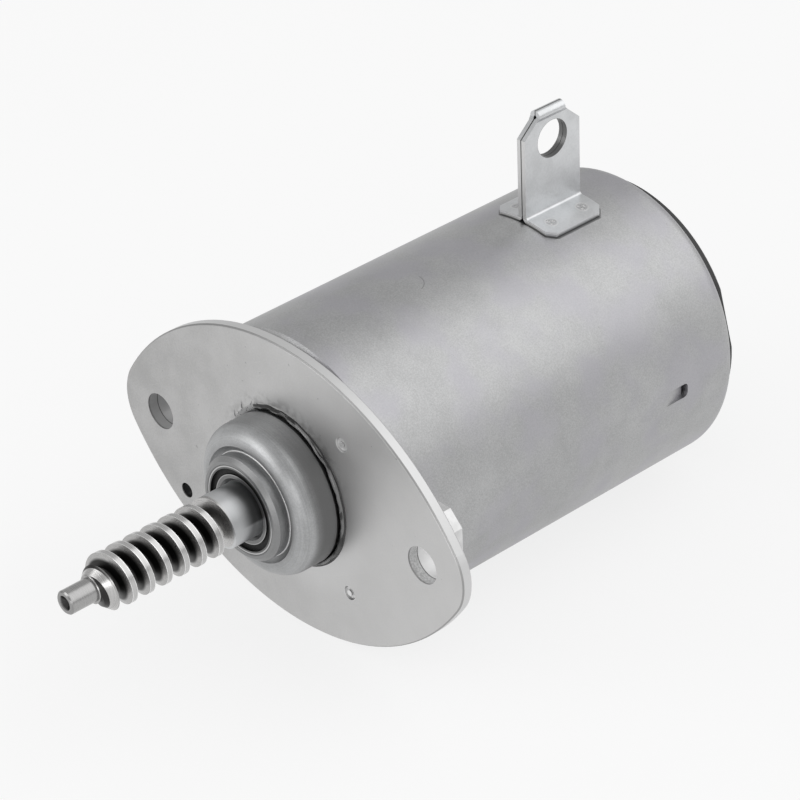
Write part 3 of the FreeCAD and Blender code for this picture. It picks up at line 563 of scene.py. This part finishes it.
# Painted shade over an oil film: the grooves darken to nearly black towards the root.
film_and_painted_root_shade = depth.above(WORM_CREST - 0.7, WORM_ROOT + 1.4) * in_groove
flank = in_groove * depth.above(WORM_ROOT, WORM_ROOT + 0.4)
crest = to_groove.above(groove_wall, groove_wall + 0.003) * in_thread
crest = crest * depth.above(WORM_CREST - 0.2, WORM_CREST - 0.05)
nicks = worm.cloud(0.5, 2.0).above(0.3, 0.5)
# Painted highlight: a bright line along both corners of each crest.
corner = to_groove.near(groove_wall, 0.022, 0.008) * crest * (0.35 + nicks * 0.65)
print("worm of", round((WORM_END - WORM_START) / WORM_PITCH, 1), "turns")

# %% Find the bar, the pin and the tip
BAR_R = 5.4
SEAT_START = -16.2
SEAT_END = -12.4
TIP_Y = -53.0
CENTRE_R = 1.5
on_bar = depth.above(BAR_R - 0.4, BAR_R)
face_up = worm.angle().above(0.0, 0.12) * worm.angle().above(2.2, 1.4)
bar = worm.y.above(WORM_END, WORM_END + 0.5) * on_bar
# Painted reflection: the top of the bar next to the bearing is painted dark, for the dark gap that
# it mirrors.
painted_gap_reflection = worm.y.above(SEAT_START, SEAT_END) * on_bar * face_up
pin = worm.y.above(WORM_START, WORM_START - 0.2)
tip = worm.y.above(TIP_Y + 0.5, TIP_Y + 0.1)
# Painted shade: the middle of the pin's end is painted nearly black.
painted_centre_hole_shade = depth.above(CENTRE_R, CENTRE_R - 0.2) * worm.y.above(WORM_START - 1.0, WORM_START - 3.0)
print("bar from y", WORM_END, "pin from y", WORM_START, "to", TIP_Y)

# %% Finish the worm
marks = worm.cloud(1.0, 2.0, worm.vector(depth / 0.12, worm.y / 0.12, worm.angle() * 0.8))
tone = worm.blend(marks.above(0.3, 0.7), grey(0.44, 0.01), grey(0.56, 0.01))
tone = worm.blend(flank * 0.5, tone, grey(0.36, 0.01))
tone = worm.blend(film_and_painted_root_shade * 0.95, tone, grey(0.02, 0.03))
tone = worm.blend(crest * 0.3, tone, grey(0.6))
tone = worm.blend(bar * 0.8, tone, grey(0.68, -0.02))
tone = worm.blend(painted_gap_reflection * 0.8, tone, grey(0.06))
tone = worm.blend(pin * 0.5, tone, grey(0.26))
tone = worm.blend(tip * 0.4, tone, grey(0.18))
tone = worm.blend(painted_centre_hole_shade * 0.9, tone, grey(0.03))
worm.drive("Base Color", worm.blend(corner, tone, grey(0.95)))
worm.drive("Roughness", 0.24 + marks * 0.08 + film_and_painted_root_shade * 0.1 + bar * 0.1)
worm.bump(marks, 0.004)
worm.on("worm_shaft")

# %% [markdown]
# ## The ball bearing
# The rings are ground, with fine rings of their own. They stand in the shade of the collar, and
# that shade is painted into their dark tone, with a thin painted highlight on each. The seal
# between them is black nitrile rubber with a slight sheen of grease. Balls and cage are hidden
# behind it, and get plain polished and pressed steel.

# %% Finish the bearing rings
ground = Finish("ground_rings", grey(0.3), metallic=1.0, roughness=0.24)
SEAL_MIDDLE_R = 7.85
OUTER_LINE_R = 8.95
INNER_LINE_R = 7.1
fine = ground.cloud(1.0, 2.0, ground.vector(ground.radius() / 0.1, ground.y / 0.1, 0.0))
painted_outer_ring_shade = ground.radius().above(SEAL_MIDDLE_R, SEAL_MIDDLE_R + 0.2)
painted_ring_highlight = ground.radius().near(OUTER_LINE_R, 0.1, 0.05)
painted_ring_highlight = painted_ring_highlight + ground.radius().near(INNER_LINE_R, 0.06, 0.04) * 0.6
# Painted shade: the ground rings are painted dark, darker still on the outer ring, with a thin
# painted highlight on each.
tone = ground.blend(fine.above(0.3, 0.7), grey(0.14), grey(0.22))
tone = ground.blend(painted_outer_ring_shade * 0.6, tone, grey(0.1))
ground.drive("Base Color", ground.blend(painted_ring_highlight, tone, grey(0.5)))
ground.drive("Roughness", 0.24 + fine * 0.1)
ground.on("bearing_outer_ring", "bearing_inner_ring", "thrust_washer")

# %% Finish the balls, the cage, the rubber and the spring steel
polished = Finish("polished_balls", grey(0.75), metallic=1.0, roughness=0.08)
polished.drive("Roughness", 0.06 + polished.cloud(0.6) * 0.06)
polished.drive("Base Color", polished.blend(polished.cloud(1.5), grey(0.7), grey(0.8)))
polished.on("bearing_balls")

pressed = Finish("pressed_cage", grey(0.45, 0.02), metallic=1.0, roughness=0.4)
pressed.drive("Roughness", 0.34 + pressed.cloud(0.7) * 0.14)
pressed.drive("Base Color", pressed.blend(pressed.cloud(1.2), grey(0.38, 0.02), grey(0.5, 0.02)))
pressed.bump(pressed.cloud(0.4), 0.006)
pressed.on("bearing_cage")

rubber = Finish("black_rubber", grey(0.018), roughness=0.5, Specular_IOR_Level=0.15)
rubber.drive("Base Color", rubber.blend(rubber.cloud(1.8), grey(0.008), grey(0.02)))
rubber.drive("Roughness", 0.4 + rubber.cloud(0.5) * 0.25)
rubber.bump(rubber.cloud(0.3), 0.01)
rubber.on("bearing_seal_front", "bearing_seal_rear", "cap_seal_ring")

spring = Finish("spring_steel", grey(0.32, 0.01), metallic=1.0, roughness=0.32)
spring.drive("Roughness", 0.26 + spring.cloud(0.6) * 0.14)
spring.drive("Base Color", spring.blend(spring.cloud(1.0), grey(0.26, 0.01), grey(0.4, 0.01)))
spring.on("retaining_ring", "brush_spring_upper", "brush_spring_lower")

# %% [markdown]
# ## The rear cap
# The cap is glass-filled black plastic. A fine spark-eroded texture covers it, so highlights are
# broad and dull, and the flow of the moulding leaves a faint cloud in the gloss. The brush carrier
# and the commutator's hub are moulded in a greyer grade.

# %% Finish the cap
moulded = Finish("moulded_black", grey(0.03), roughness=0.55, IOR=1.5)
texture = moulded.cloud(0.22, 2.0)
flow = moulded.cloud(9.0)
moulded.drive("Base Color", moulded.blend(flow, grey(0.022), grey(0.042)))
moulded.drive("Roughness", 0.46 + texture * 0.12 + flow * 0.1)
moulded.bump(texture, 0.012)
moulded.on("rear_cap")

inner = Finish("moulded_grey", grey(0.09, -0.02), roughness=0.55, IOR=1.5)
inner.drive("Base Color", inner.blend(inner.cloud(6.0), grey(0.07, -0.02), grey(0.12, -0.02)))
inner.drive("Roughness", 0.48 + inner.cloud(0.4) * 0.14)
inner.bump(inner.cloud(0.3), 0.01)
inner.on("brush_carrier", "commutator_hub")

# %% [markdown]
# ## Inside the can
# A closed motor hides its armature, but the model comes apart, so its pieces get their own
# finishes. The core is a stack of thin sheets, drawn as lines half a millimetre apart. The coils
# are enamelled wire, drawn as fine strands. The commutator is turned copper, darker where the
# brushes run. The magnets are ferrite, ground grey-black.

# %% Finish the armature
stack = Finish("stacked_sheets", grey(0.2), metallic=0.8, roughness=0.45)
SHEET = 0.5
between_sheets = (stack.y / SHEET * 2 * math.pi).math("SINE") * 0.5 + 0.5
rust = stack.cloud(5.0)
aged = between_sheets * 0.6 + rust * 0.4
stack.drive("Base Color", stack.blend(aged, grey(0.13), grey(0.27, 0.03)))
stack.drive("Roughness", 0.4 + between_sheets * 0.15)
stack.bump(between_sheets, 0.03)
stack.on("armature_core")

board = Finish("fibre_board", (0.4, 0.33, 0.2), roughness=0.7)
fibre = board.cloud(0.8, 4.0)
board.drive("Base Color", board.blend(fibre, (0.32, 0.26, 0.15), (0.5, 0.42, 0.27)))
board.drive("Roughness", 0.62 + fibre * 0.15)
board.bump(fibre, 0.02)
board.on("armature_end_plate_front", "armature_end_plate_rear")

coil = Finish("enamelled_wire", (0.5, 0.16, 0.06), metallic=0.6, roughness=0.3)
strand = coil.vector(coil.radius() / 0.8, coil.y / 0.8, coil.angle() * 4.0)
strand = (coil.cloud(1.0, 2.0, strand) * 24.0 + coil.radius() * 5.0).math("SINE") * 0.5 + 0.5
coil.drive("Base Color", coil.blend(strand, (0.2, 0.05, 0.02), (0.62, 0.24, 0.09)))
coil.drive("Roughness", 0.25 + strand * 0.12)
coil.bump(strand, 0.12)
coil.on("armature_windings")

# %% Finish the commutator and the magnets
BRUSH_Y = 72.2
BRUSH_HALF = 3.0
TRACK_R = 10.45
copper = Finish("turned_copper", (0.72, 0.38, 0.24), metallic=1.0, roughness=0.28)
track = copper.cloud(1.0, 2.0, copper.vector(copper.radius(), copper.y / 0.2, 0.0))
brushed_track = copper.y.near(BRUSH_Y, BRUSH_HALF, 0.3)
brushed_track = brushed_track * copper.radius().above(TRACK_R - 0.15, TRACK_R)
tone = copper.blend(track.above(0.3, 0.7), (0.62, 0.31, 0.19), (0.8, 0.46, 0.31))
copper.drive("Base Color", copper.blend(brushed_track * 0.6, tone, (0.2, 0.12, 0.09)))
copper.drive("Roughness", 0.24 + track * 0.12)
copper.bump(track, 0.006)
copper.on("commutator_bars")

magnet = Finish("ground_ferrite", grey(0.06), metallic=0.3, roughness=0.5)
crystal = magnet.cloud(0.5, 4.0)
magnet.drive("Base Color", magnet.blend(crystal, grey(0.045), grey(0.1)))
magnet.drive("Roughness", 0.42 + crystal * 0.2)
magnet.bump(crystal, 0.01)
magnet.on("pole_magnet_right", "pole_magnet_left")

# %% [markdown]
# ## Brushes, blades and bush
# The brushes are pressed graphite with copper in it: dark, with a warm glint. The blades are
# brass with a thin coat of tin. The rear bush is sintered bronze, full of small oil-filled pores.

# %% Finish the small rear pieces
carbon = Finish("pressed_graphite", grey(0.04, 0.05), metallic=0.4, roughness=0.5)
glint = carbon.cloud(0.18, 1.0).above(0.6, 0.68)
carbon.drive("Base Color", carbon.blend(glint, grey(0.035), (0.3, 0.17, 0.1)))
carbon.drive("Roughness", 0.5 - glint * 0.15)
carbon.bump(carbon.cloud(0.2), 0.01)
carbon.on("carbon_brush_upper", "carbon_brush_lower")

tin = Finish("tinned_blade", grey(0.68, 0.01), metallic=1.0, roughness=0.25)
drawn = tin.cloud(1.0, 2.0, tin.vector(tin.x / 0.15, tin.y / 5.0, tin.z / 0.15))
tin.drive("Base Color", tin.blend(drawn, grey(0.6, 0.02), grey(0.76, 0.01)))
tin.drive("Roughness", 0.2 + drawn * 0.12)
tin.bump(drawn, 0.004)
tin.on("power_terminal_right", "power_terminal_left")

bronze = Finish("sintered_bronze", (0.42, 0.27, 0.13), metallic=0.9, roughness=0.42)
pore = bronze.cloud(0.3, 2.0).above(0.38, 0.46)
bronze.drive("Base Color", bronze.blend(pore, (0.12, 0.07, 0.03), (0.5, 0.33, 0.16)))
bronze.drive("Roughness", 0.5 - pore * 0.12)
bronze.bump(pore, 0.02)
bronze.on("rear_bearing_bush")

# %% [markdown]
# ## The sealant bead
# Black sealant fills the groove between the flange and the housing. It was laid by hand, so it is a
# glossy, lumpy ring, and a plain turned ring would look machined. Its section is a hump whose
# width and height follow smooth noise round the ring, fullest at the upper right and thinnest at
# the lower left. Where it is narrow, sealant that was wiped flush with the flange covers the rest
# of the groove. At the upper left the nozzle was lifted: the hump flattens into a grey film there,
# and pulls short hairs onto the flange.

# %% Measure the groove
BEAD_WIDTH = 1.1
FOOT_RELIEF = 0.5
GROOVE_DEPTH = 1.2
RELIEF_Y = 0.3
FLUSH_Y = -0.03
BEAD_STEPS = 300
BEAD_SECTION = 10
FILM_START = 2.04
FILM_END = 2.9
FILM_IN = 0.06
FILM_OUT = 0.2
THINNEST_ANGLE = -2.3
THIN_WIDTH = 0.62
THIN_HEIGHT = 0.45
LUMP_PACE = 14.0
LUMP_HEIGHT = 0.06
bead_inner = bead_outer - BEAD_WIDTH
groove_floor = bead_inner - FOOT_RELIEF
print("groove from radius", round(groove_floor, 2), "to", round(bead_outer, 2))


def wave(turn_angle, pace, shift):
    """Smooth noise round the ring, from about -0.5 to 0.5, that closes on itself."""
    return noise.noise(Vector((math.cos(turn_angle), math.sin(turn_angle), shift)) * pace)


def film_share(turn_angle):
    """1 where the bead has thinned to a film, and 0 elsewhere, with short slopes between."""
    into = (turn_angle - FILM_START) / FILM_IN
    out = (FILM_END - turn_angle) / FILM_OUT
    return max(0.0, min(1.0, into, out))


def bead_section(turn_angle):
    """Points of the section at one angle: over the hump, into the groove and back below."""
    film_and_painted_root_shade = film_share(turn_angle)
    full = 0.5 - 0.5 * math.cos(turn_angle - THINNEST_ANGLE)
    width = BEAD_WIDTH * (THIN_WIDTH + 0.3 * full + 0.24 * wave(turn_angle, 6.0, 0.5))
    width = min(width * (1 + 0.3 * film_and_painted_root_shade), BEAD_WIDTH)
    height = THIN_HEIGHT + 0.35 * full + 0.3 * wave(turn_angle, 7.0, 2.0)
    height = height * (1 - 0.8 * film_and_painted_root_shade)
    points = []
    for i in range(BEAD_SECTION + 1):
        share = i / BEAD_SECTION
        swell = LUMP_HEIGHT * wave(turn_angle, LUMP_PACE, i * 0.08) * math.sin(math.pi * share)
        r = bead_inner + width * (0.5 - 0.5 * math.cos(math.pi * share))
        y = -height * math.sin(math.pi * share) ** 0.8 - swell + FLUSH_Y
        points.append((r, min(max(y, bead_front), FLUSH_Y)))
    points += [(bead_outer, FLUSH_Y), (bead_outer, GROOVE_DEPTH)]
    return points + [(groove_floor, GROOVE_DEPTH), (groove_floor, RELIEF_Y)]


# %% Build the bead and its hairs
bead_mesh = bmesh.new()


def at_ring(angle, radius, y):
    """A vertex at one place round the shaft."""
    place = Vector((radius * math.cos(angle), y, radius * math.sin(angle)))
    return bead_mesh.verts.new(place * MM)


def loft(built, rows, closed):
    """Faces between rows of vertices, each row a closed loop."""
    pairs = list(zip(rows, rows[1:])) + ([(rows[-1], rows[0])] if closed else [])
    for row, following in pairs:
        for i in range(len(row)):
            j = (i + 1) % len(row)
            built.faces.new((row[i], following[i], following[j], row[j]))


turns = [2 * math.pi * step / BEAD_STEPS for step in range(BEAD_STEPS)]
bead_rows = [[at_ring(angle, r, y) for r, y in bead_section(angle)] for angle in turns]
loft(bead_mesh, bead_rows, True)

HAIR_ANGLES = (2.02, 2.13, 2.31, 2.44, 2.52, 2.66)
HAIR_LENGTHS = (0.4, 0.7, 1.2, 0.5, 1.0, 0.7)
HAIR_HALF = 0.2
HAIR_STEPS = 6
HAIR_START = 0.4
HAIR_TAPER = 0.85
HAIR_SWAY = 0.03
SUNK_Y = 0.02
for angle, length in zip(HAIR_ANGLES, HAIR_LENGTHS):
    rows = []
    for i in range(HAIR_STEPS + 1):
        share = i / HAIR_STEPS
        thin = HAIR_HALF * (1 - share * HAIR_TAPER)
        lean = angle + HAIR_SWAY * math.sin(share * 4 + angle * 30)
        middle = bead_outer - HAIR_START + (length + HAIR_START) * share
        half = thin / middle
        row = [(lean - half, SUNK_Y), (lean, -thin), (lean + half, SUNK_Y)]
        rows.append([at_ring(turn_to, middle, y) for turn_to, y in row])
    loft(bead_mesh, rows, False)
    bead_mesh.faces.new(rows[-1])
    bead_mesh.faces.new(rows[0])


def smooth_piece(name, built):
    """Turn a finished bmesh into an object of the scene, shaded smooth."""
    bmesh.ops.recalc_face_normals(built, faces=built.faces)
    mesh = bpy.data.meshes.new(name)
    built.to_mesh(mesh)
    built.free()
    mesh.shade_smooth()
    piece = bpy.data.objects.new(name, mesh)
    bpy.context.scene.collection.objects.link(piece)
    print(name, "faces", len(mesh.polygons))
    return piece


bead = smooth_piece("sealant", bead_mesh)

# %% Finish the bead
wet = Finish("wet_sealant", grey(0.012), roughness=0.14, IOR=1.55)
dust = wet.cloud(0.9).above(0.6, 0.74)
film_and_painted_root_shade = wet.angle().above(FILM_START - 0.02, FILM_START + 0.06) * wet.y.above(-0.3, -0.2)
film_and_painted_root_shade = film_and_painted_root_shade * wet.radius().above(bead_outer + 0.05, bead_outer - 0.05)
wiped = wet.y.above(FLUSH_Y - 0.04, FLUSH_Y - 0.01)
wiped = wiped * wet.radius().above(bead_inner + 0.3, bead_inner + 0.4)
along = wet.vector(wet.angle() * 4.0, wet.radius() / 0.8, wet.y / 0.8)
# Painted highlight: a broken grey line along the hump's crest.
painted_ridge_highlight = wet.cloud(1.0, 1.0, along).above(0.42, 0.56) * wet.y.above(-0.36, -0.44)
tone = wet.blend(dust, grey(0.008), grey(0.05))
tone = wet.blend(painted_ridge_highlight * 0.6, tone, grey(0.28))
tone = wet.blend(film_and_painted_root_shade * wet.cloud(0.5).above(0.3, 0.5), tone, grey(0.34))
wiped_tone = wet.blend(wet.angle().above(0.9, 1.6), grey(0.05), grey(0.42))
wet.drive("Base Color", wet.blend(wiped * 0.9, tone, wiped_tone))
wet.drive("Roughness", 0.16 + dust * 0.3 + film_and_painted_root_shade.most(wiped) * 0.4)
wet.bump(wet.cloud(1.4), 0.03)
bead.data.materials.append(wet.material)
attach(bead, "stator")
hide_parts("sealant_bead")

# %% [markdown]
# ## The brush springs
# Each spring is wound from round wire, and its two end turns lie flat so that it stands square. In
# the solid model the coil keeps one length, but a real one closes as its brush slides back. The two
# springs are wound again here as meshes at full length, and the share of its length that each
# would close to is printed.

# %% Wind the springs
COIL_R = 2.2
WIRE_R = 0.3
COIL_TURNS = 4.5
FLAT_TURNS = 0.5
STEPS_PER_TURN = 40
WIRE_SIDES = 10


def wind_spring(name, node, joint):
    """A coil between one brush and its guide's end, wound in the box of the spring's CAD node."""
    low, high = corner_mm(node)
    middle = (low + high) / 2
    length = high.z - low.z
    coil_mesh = bmesh.new()
    rows = []
    for step in range(round(COIL_TURNS * STEPS_PER_TURN) + 1):
        done = step / STEPS_PER_TURN
        risen = (done - FLAT_TURNS) / (COIL_TURNS - 2 * FLAT_TURNS)
        z = (length / 2 - WIRE_R) * (2 * min(max(risen, 0.0), 1.0) - 1)
        angle = 2 * math.pi * done
        outward = Vector((math.cos(angle), math.sin(angle), 0.0))
        core = middle + outward * COIL_R + Vector((0.0, 0.0, z))
        row = []
        for i in range(WIRE_SIDES):
            round_wire = 2 * math.pi * i / WIRE_SIDES
            lift = Vector((0.0, 0.0, WIRE_R * math.sin(round_wire)))
            place = core + outward * WIRE_R * math.cos(round_wire) + lift
            row.append(coil_mesh.verts.new(place * MM))
        rows.append(row)
    loft(coil_mesh, rows, False)
    coil_mesh.faces.new(rows[0])
    coil_mesh.faces.new(rows[-1])
    piece = smooth_piece(name, coil_mesh)
    piece.data.materials.append(spring.material)
    travel = next(j["range_m"][1] for j in frame["joints"] if j["name"] == joint) / MM
    keep = (length - travel) / length
    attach(piece, "stator")
    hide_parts(node)
    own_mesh(piece)
    print(name, "closes to", round(keep, 3), "of its length")


wind_spring("coil_upper", "brush_spring_upper", "brush_upper_slide")
wind_spring("coil_lower", "brush_spring_lower", "brush_lower_slide")

# %% [markdown]
# ## Floor and light
# A steel part is mostly a picture of what stands round it. The real one was shot on a white
# sweep with large soft lamps, so a broad lamp hangs high on the right, one stands at the worm's
# side and a small one in front. The world is a pale grey that fills the rest, so that the steel
# keeps its darker tones. The camera and the mirrors in the steel see a nearly white floor, and
# the camera sees a white room.

# %% Set the floor
FLOOR_GAP = 0.0005
FLOOR_HALF = 3.0
SEEN_WHITE = 0.78
floor_z = cad_box[0][2] - FLOOR_GAP
floor_mesh = bpy.data.meshes.new("floor")
corners = [(-FLOOR_HALF, -FLOOR_HALF), (FLOOR_HALF, -FLOOR_HALF)]
corners += [(FLOOR_HALF, FLOOR_HALF), (-FLOOR_HALF, FLOOR_HALF)]
floor_mesh.from_pydata([(x, y, floor_z) for x, y in corners], [], [(0, 1, 2, 3)])
floor = bpy.data.objects.new("floor", floor_mesh)
bpy.context.scene.collection.objects.link(floor)

paper = Finish("white_paper", grey(0.86), roughness=0.9)
paper.drive("Base Color", paper.blend(paper.cloud(60.0), grey(0.84), grey(0.87)))
camera_ray = paper.node("ShaderNodeLightPath", {}, {}, "Is Camera Ray")
glossy_ray = paper.node("ShaderNodeLightPath", {}, {}, "Is Glossy Ray")
seen = camera_ray.most(glossy_ray) * SEEN_WHITE
glow = paper.node("ShaderNodeEmission", {}, {"Strength": 1.0})
lit = Value(paper, paper.shader.outputs[0])
paper_mix = paper.node("ShaderNodeMixShader", {}, {0: seen, 1: lit, 2: glow})
paper_output = paper.tree.nodes["Material Output"]
paper.tree.links.new(paper_mix.socket, paper_output.inputs[0])
floor_mesh.materials.append(paper.material)
print("floor at", round(floor_z / MM, 1), "mm")

# %% Light the room
ROOM_LIGHT = 0.62
world = bpy.data.worlds.new("room")
bpy.context.scene.world = world
world.use_nodes = True
room = world.node_tree
room.nodes.clear()
room_output = room.nodes.new("ShaderNodeOutputWorld")
room_mix = room.nodes.new("ShaderNodeMixShader")
room_light = room.nodes.new("ShaderNodeBackground")
room_seen = room.nodes.new("ShaderNodeBackground")
room_path = room.nodes.new("ShaderNodeLightPath")
for background, strength in ((room_light, ROOM_LIGHT), (room_seen, 1.0)):
    background.inputs["Color"].default_value = (1.0, 1.0, 1.0, 1.0)
    background.inputs["Strength"].default_value = strength
room.links.new(room_path.outputs["Is Camera Ray"], room_mix.inputs[0])
room.links.new(room_light.outputs[0], room_mix.inputs[1])
room.links.new(room_seen.outputs[0], room_mix.inputs[2])
room.links.new(room_mix.outputs[0], room_output.inputs[0])
print("room light", ROOM_LIGHT)


# %% Hang the lamps
def lamp(name, power, size, place, target):
    """A square soft lamp that faces a point of the motor."""
    data = bpy.data.lights.new(name, "AREA")
    data.energy = power
    data.shape = "SQUARE"
    data.size = size
    made = bpy.data.objects.new(name, data)
    made.location = place
    made.rotation_euler = (Vector(target) - Vector(place)).to_track_quat("-Z", "Y").to_euler()
    bpy.context.scene.collection.objects.link(made)
    print("lamp", name, power, "W")


lamp("high_right", 3.4, 1.1, (0.4, 0.52, 0.66), (0, 0.03, 0))
lamp("worm_side", 1.7, 0.5, (-0.35, -0.7, 0.35), (0, 0, 0))
lamp("front_right", 0.8, 0.3, (0.5, -0.75, 0.2), (0, 0, 0))

# %% [markdown]
# ## The view transform
# The view transform stays plain, so a colour comes out about as it is written.

# %% Finish
bpy.context.scene.view_settings.view_transform = "Standard"
